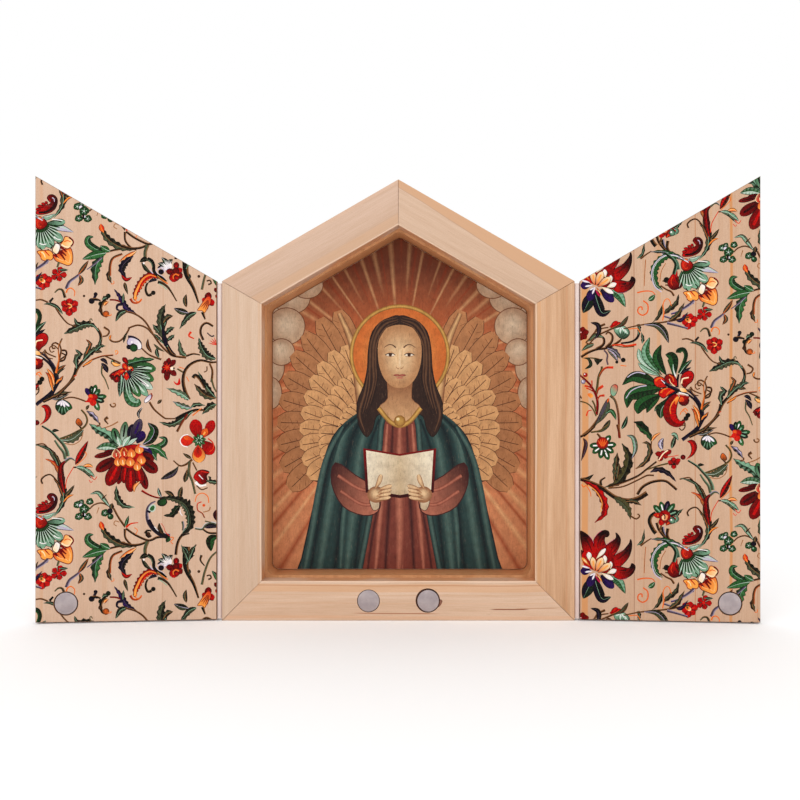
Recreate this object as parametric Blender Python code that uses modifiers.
"""A small folding triptych shrine: a house-shaped wooden box with a picture in its niche and two printed doors.

Metres, +Z up, the niche faces -Y. The origin is the centre of the box's underside.
"""

from math import cos, radians, sin, tan

import bmesh
import bpy
from mathutils import Vector

# The box, whose front frame of five mitred bars is laid on a routed backing tray.
WIDTH = 0.130
EAVE_HEIGHT = 0.1251
ROOF_SLOPE = radians(30)
DEPTH = 0.0225
BAR_WIDTH = 0.0145
BAR_DEPTH = 0.007
EDGE_EASING = 0.0004

# The tray's pocket is a little narrower than the frame's opening, and its corners are round.
POCKET_INSET = 0.0009
POCKET_RADIUS = 0.003
PICTURE_DEPTH = 0.018
PICTURE_THICKNESS = 0.0005

# Faceted pieces that touch keep this gap.
GAP = 0.0003
ARC_STEPS = 6

# The doors close flat on the front and meet in the middle. At rest they stand open, a little forward of flat.
DOOR_THICKNESS = 0.003
DOOR_LIFT = 0.0005
DOOR_MEETING_GAP = 0.0005
DOOR_FORWARD_ANGLE = radians(4.5)
HINGE_GAP = 0.0019

# One strip of cloth tape along each hinge, as a flap on the box's side and a flap on the door's outer face.
TAPE_THICKNESS = 0.00035
TAPE_ON_CASE = 0.0095
TAPE_ON_DOOR = 0.009
TAPE_END_MARGIN = 0.0008

# Closing magnets: flush discs in blind holes, two in the bottom bar and one in each door.
MAGNET_RADIUS = 0.004
MAGNET_THICKNESS = 0.002
MAGNET_HEIGHT = 0.00725
MAGNET_FROM_CENTRE = 0.011
MAGNET_SEGMENTS = 40

HALF_WIDTH = WIDTH / 2
FRONT_Y = -DEPTH / 2
BACK_Y = DEPTH / 2
APEX_HEIGHT = EAVE_HEIGHT + HALF_WIDTH * tan(ROOF_SLOPE)
DOOR_WIDTH = HALF_WIDTH - DOOR_MEETING_GAP / 2
HINGE_X = HALF_WIDTH + HINGE_GAP / 2
HINGE_Y = FRONT_Y - GAP / 2
UPRIGHT = (radians(90), 0, 0)

LEFT, RIGHT = -1, 1
SIDES = {"left": LEFT, "right": RIGHT}


def clear_scene():
    for obj in list(bpy.data.objects):
        bpy.data.objects.remove(obj, do_unlink=True)


def make_collection(name, hidden=False):
    collection = bpy.data.collections.new(name)
    collection.hide_render = hidden
    bpy.context.scene.collection.children.link(collection)
    return collection


def make_material(name, colour, roughness, metallic=0.0):
    material = bpy.data.materials.new(name)
    material.use_nodes = True
    shader = material.node_tree.nodes["Principled BSDF"]
    shader.inputs["Base Color"].default_value = (*colour, 1)
    shader.inputs["Roughness"].default_value = roughness
    shader.inputs["Metallic"].default_value = metallic
    return material


def add_object(name, mesh, collection, material=None):
    obj = bpy.data.objects.new(name, mesh)
    if material:
        mesh.materials.append(material)
    collection.objects.link(obj)
    return obj


def house_outline(inset=0.0):
    """The five corners of the house shape, inset by one distance on all sides: feet, right eave, apex, left eave."""
    x = HALF_WIDTH - inset
    apex = APEX_HEIGHT - inset / cos(ROOF_SLOPE)
    eave = apex - x * tan(ROOF_SLOPE)
    return [Vector(p) for p in ((-x, inset), (x, inset), (x, eave), (0, apex), (-x, eave))]


def rounded(corners, radius):
    """The outline with each corner turned into an arc."""
    points = []
    for i, corner in enumerate(corners):
        to_last = (corners[i - 1] - corner).normalized()
        to_next = (corners[(i + 1) % len(corners)] - corner).normalized()
        half_angle = to_last.angle(to_next) / 2
        centre = corner + (to_last + to_next).normalized() * (radius / sin(half_angle))
        start = corner + to_last * (radius / tan(half_angle)) - centre
        end = corner + to_next * (radius / tan(half_angle)) - centre
        for step in range(ARC_STEPS + 1):
            share = step / ARC_STEPS
            points.append(centre + start.slerp(end, share).normalized() * radius)
    return points


def flat_solid(name, outline, front, back, collection, material=None):
    """A flat outline in X and Z, filled and given the depth from front to back along Y."""
    curve = bpy.data.curves.new(name, "CURVE")
    curve.dimensions = "2D"
    curve.fill_mode = "BOTH"
    curve.extrude = (back - front) / 2
    spline = curve.splines.new("POLY")
    spline.points.add(len(outline) - 1)
    for point, place in zip(spline.points, outline):
        point.co = (place[0], place[1], 0, 1)
    spline.use_cyclic_u = True
    drawn = bpy.data.objects.new(name + "_outline", curve)
    collection.objects.link(drawn)
    graph = bpy.context.evaluated_depsgraph_get()
    mesh = bpy.data.meshes.new_from_object(drawn.evaluated_get(graph))
    bpy.data.objects.remove(drawn)
    mesh.name = name
    bm = bmesh.new()
    bm.from_mesh(mesh)
    bmesh.ops.remove_doubles(bm, verts=bm.verts, dist=1e-6)
    bmesh.ops.dissolve_limit(bm, angle_limit=radians(1), verts=bm.verts, edges=bm.edges)
    bmesh.ops.recalc_face_normals(bm, faces=bm.faces)
    bm.to_mesh(mesh)
    bm.free()
    obj = add_object(name, mesh, collection, material)
    obj.rotation_euler = UPRIGHT
    obj.location.y = (front + back) / 2
    return obj


def disc(name, radius, front, back, collection, material=None):
    """A disc whose axis lies along Y."""
    bm = bmesh.new()
    bmesh.ops.create_cone(
        bm,
        cap_ends=True,
        segments=MAGNET_SEGMENTS,
        radius1=radius,
        radius2=radius,
        depth=back - front,
    )
    mesh = bpy.data.meshes.new(name)
    bm.to_mesh(mesh)
    bm.free()
    mesh.shade_smooth()
    mesh.set_sharp_from_angle(angle=radians(40))
    obj = add_object(name, mesh, collection, material)
    obj.rotation_euler = UPRIGHT
    obj.location.y = (front + back) / 2
    return obj


def box(name, low, high, collection, material=None):
    """A box between two corners."""
    bm = bmesh.new()
    bmesh.ops.create_cube(bm, size=1)
    size = [b - a for a, b in zip(low, high)]
    bmesh.ops.scale(bm, vec=size, verts=bm.verts)
    mesh = bpy.data.meshes.new(name)
    bm.to_mesh(mesh)
    bm.free()
    obj = add_object(name, mesh, collection, material)
    obj.location = [(a + b) / 2 for a, b in zip(low, high)]
    return obj


def cut(target, cutter):
    """Takes the cutter's shape out of the target."""
    cutter.hide_render = True
    cutter.display_type = "WIRE"
    boolean = target.modifiers.new("cut_" + cutter.name, "BOOLEAN")
    boolean.operation = "DIFFERENCE"
    boolean.object = cutter


def ease_long_edges(obj, width):
    """Bevels a bar's front edges along its length, and leaves its mitred ends sharp."""
    mesh = obj.data
    front = max(v.co.z for v in mesh.vertices)
    weights = mesh.attributes.new("bevel_weight_edge", "FLOAT", "EDGE")
    for edge in mesh.edges:
        a, b = (mesh.vertices[i].co for i in edge.vertices)
        on_front = min(a.z, b.z) > front - GAP
        if on_front and (a - b).length > 2 * BAR_WIDTH:
            weights.data[edge.index].value = 1
    bevel = obj.modifiers.new("eased_edges", "BEVEL")
    bevel.limit_method = "WEIGHT"
    bevel.width = width
    bevel.segments = 2


def frame_bar(name, first, collection, material):
    """The bar between one corner of the house outline and the next, mitred at both ends."""
    outer, inner = house_outline(), house_outline(BAR_WIDTH)
    last = (first + 1) % len(outer)
    along = (outer[last] - outer[first]).normalized()
    near = (inner[first] - outer[first]).normalized()
    far = (inner[last] - outer[last]).normalized()
    near_trim = along * (GAP / 2 / sin(along.angle(near)))
    far_trim = along * (GAP / 2 / sin(along.angle(far)))
    corners = [
        outer[first] + near_trim,
        outer[last] - far_trim,
        inner[last] - far_trim,
        inner[first] + near_trim,
    ]
    bar = flat_solid(name, corners, FRONT_Y, FRONT_Y + BAR_DEPTH, collection, material)
    ease_long_edges(bar, EDGE_EASING)
    return bar


def seat_magnet(name, holder, x, face, collection, cutters, material, parent=None):
    """A disc flush with its holder's printed or front face, which lies at y = face, in a blind hole."""
    hole_bottom = face + MAGNET_THICKNESS + GAP
    hole = disc("hole_for_" + name, MAGNET_RADIUS + GAP, face - GAP, hole_bottom, cutters)
    magnet = disc(name, MAGNET_RADIUS, face, face + MAGNET_THICKNESS, collection, material)
    for obj in (hole, magnet):
        obj.location.x = x
        obj.location.z = MAGNET_HEIGHT
        obj.parent = parent
    cut(holder, hole)


def build_case(collection, cutters, wood, tray_wood, print_card, steel):
    """The five front bars, the routed tray behind them, the picture on its floor and the rail's magnets."""
    rail = frame_bar("bottom_rail", 0, collection, wood)
    frame_bar("right_stile", 1, collection, wood)
    frame_bar("right_rafter", 2, collection, wood)
    frame_bar("left_rafter", 3, collection, wood)
    frame_bar("left_stile", 4, collection, wood)
    for side, sign in SIDES.items():
        x = sign * MAGNET_FROM_CENTRE
        seat_magnet(side + "_rail_magnet", rail, x, FRONT_Y, collection, cutters, steel)

    tray_front = FRONT_Y + BAR_DEPTH + GAP
    tray = flat_solid("case_tray", house_outline(), tray_front, BACK_Y, collection, tray_wood)
    pocket_edge = BAR_WIDTH + POCKET_INSET
    picture_face = FRONT_Y + PICTURE_DEPTH
    floor = picture_face + PICTURE_THICKNESS + GAP
    pocket = rounded(house_outline(pocket_edge), POCKET_RADIUS)
    cut(tray, flat_solid("pocket_cutter", pocket, FRONT_Y, floor, cutters))

    card = rounded(house_outline(pocket_edge + GAP), POCKET_RADIUS - GAP)
    flat_solid("picture", card, picture_face, floor - GAP, collection, print_card)


def build_door(side, sign, collection, cutters, door_wood, steel):
    """A thin panel with a sloping top, hung on an upright axis beside the box's front edge."""
    hinge = bpy.data.objects.new(side + "_hinge", None)
    hinge.location = (sign * HINGE_X, HINGE_Y, 0)
    hinge.rotation_euler.z = -sign * DOOR_FORWARD_ANGLE
    collection.objects.link(hinge)

    near = HINGE_GAP / 2
    far = near + DOOR_WIDTH
    outline = [
        (sign * near, DOOR_LIFT),
        (sign * far, DOOR_LIFT),
        (sign * far, EAVE_HEIGHT + DOOR_WIDTH * tan(ROOF_SLOPE)),
        (sign * near, EAVE_HEIGHT),
    ]
    inner_face = GAP / 2
    outer_face = inner_face + DOOR_THICKNESS
    door = flat_solid(side + "_door", outline, inner_face, outer_face, collection, door_wood)
    door.parent = hinge

    x = sign * (near + HALF_WIDTH - MAGNET_FROM_CENTRE)
    name = side + "_door_magnet"
    seat_magnet(name, door, x, inner_face, collection, cutters, steel, parent=hinge)
    return hinge


def build_tape(side, sign, hinge, collection, cloth):
    """The hinge tape's two flaps: one on the box's side, one on the door's outer face."""
    bottom, top = TAPE_END_MARGIN, EAVE_HEIGHT - TAPE_END_MARGIN
    xs = sorted((sign * (HALF_WIDTH + GAP), sign * (HALF_WIDTH + GAP + TAPE_THICKNESS)))
    front = FRONT_Y + 2 * GAP
    low = (xs[0], front, bottom)
    high = (xs[1], front + TAPE_ON_CASE, top)
    box(side + "_tape_case", low, high, collection, cloth)

    xs = sorted((sign * HINGE_GAP / 2, sign * (HINGE_GAP / 2 + TAPE_ON_DOOR)))
    skin = GAP / 2 + DOOR_THICKNESS + GAP
    low = (xs[0], skin, bottom)
    high = (xs[1], skin + TAPE_THICKNESS, top)
    flap = box(side + "_tape_door", low, high, collection, cloth)
    flap.parent = hinge


def build_shrine():
    clear_scene()
    shrine = make_collection("folding_triptych_shrine")
    cutters = make_collection("cutters", hidden=True)
    wood = make_material("frame_wood", (0.69, 0.49, 0.32), 0.55)
    tray_wood = make_material("tray_wood", (0.52, 0.31, 0.16), 0.6)
    door_wood = make_material("door_wood", (0.68, 0.48, 0.33), 0.5)
    print_card = make_material("printed_card", (0.42, 0.17, 0.08), 0.45)
    steel = make_material("magnet_steel", (0.38, 0.36, 0.38), 0.35, metallic=1.0)
    cloth = make_material("tape_cloth", (0.78, 0.73, 0.68), 0.9)

    build_case(shrine, cutters, wood, tray_wood, print_card, steel)
    for side, sign in SIDES.items():
        hinge = build_door(side, sign, shrine, cutters, door_wood, steel)
        build_tape(side, sign, hinge, shrine, cloth)


build_shrine()
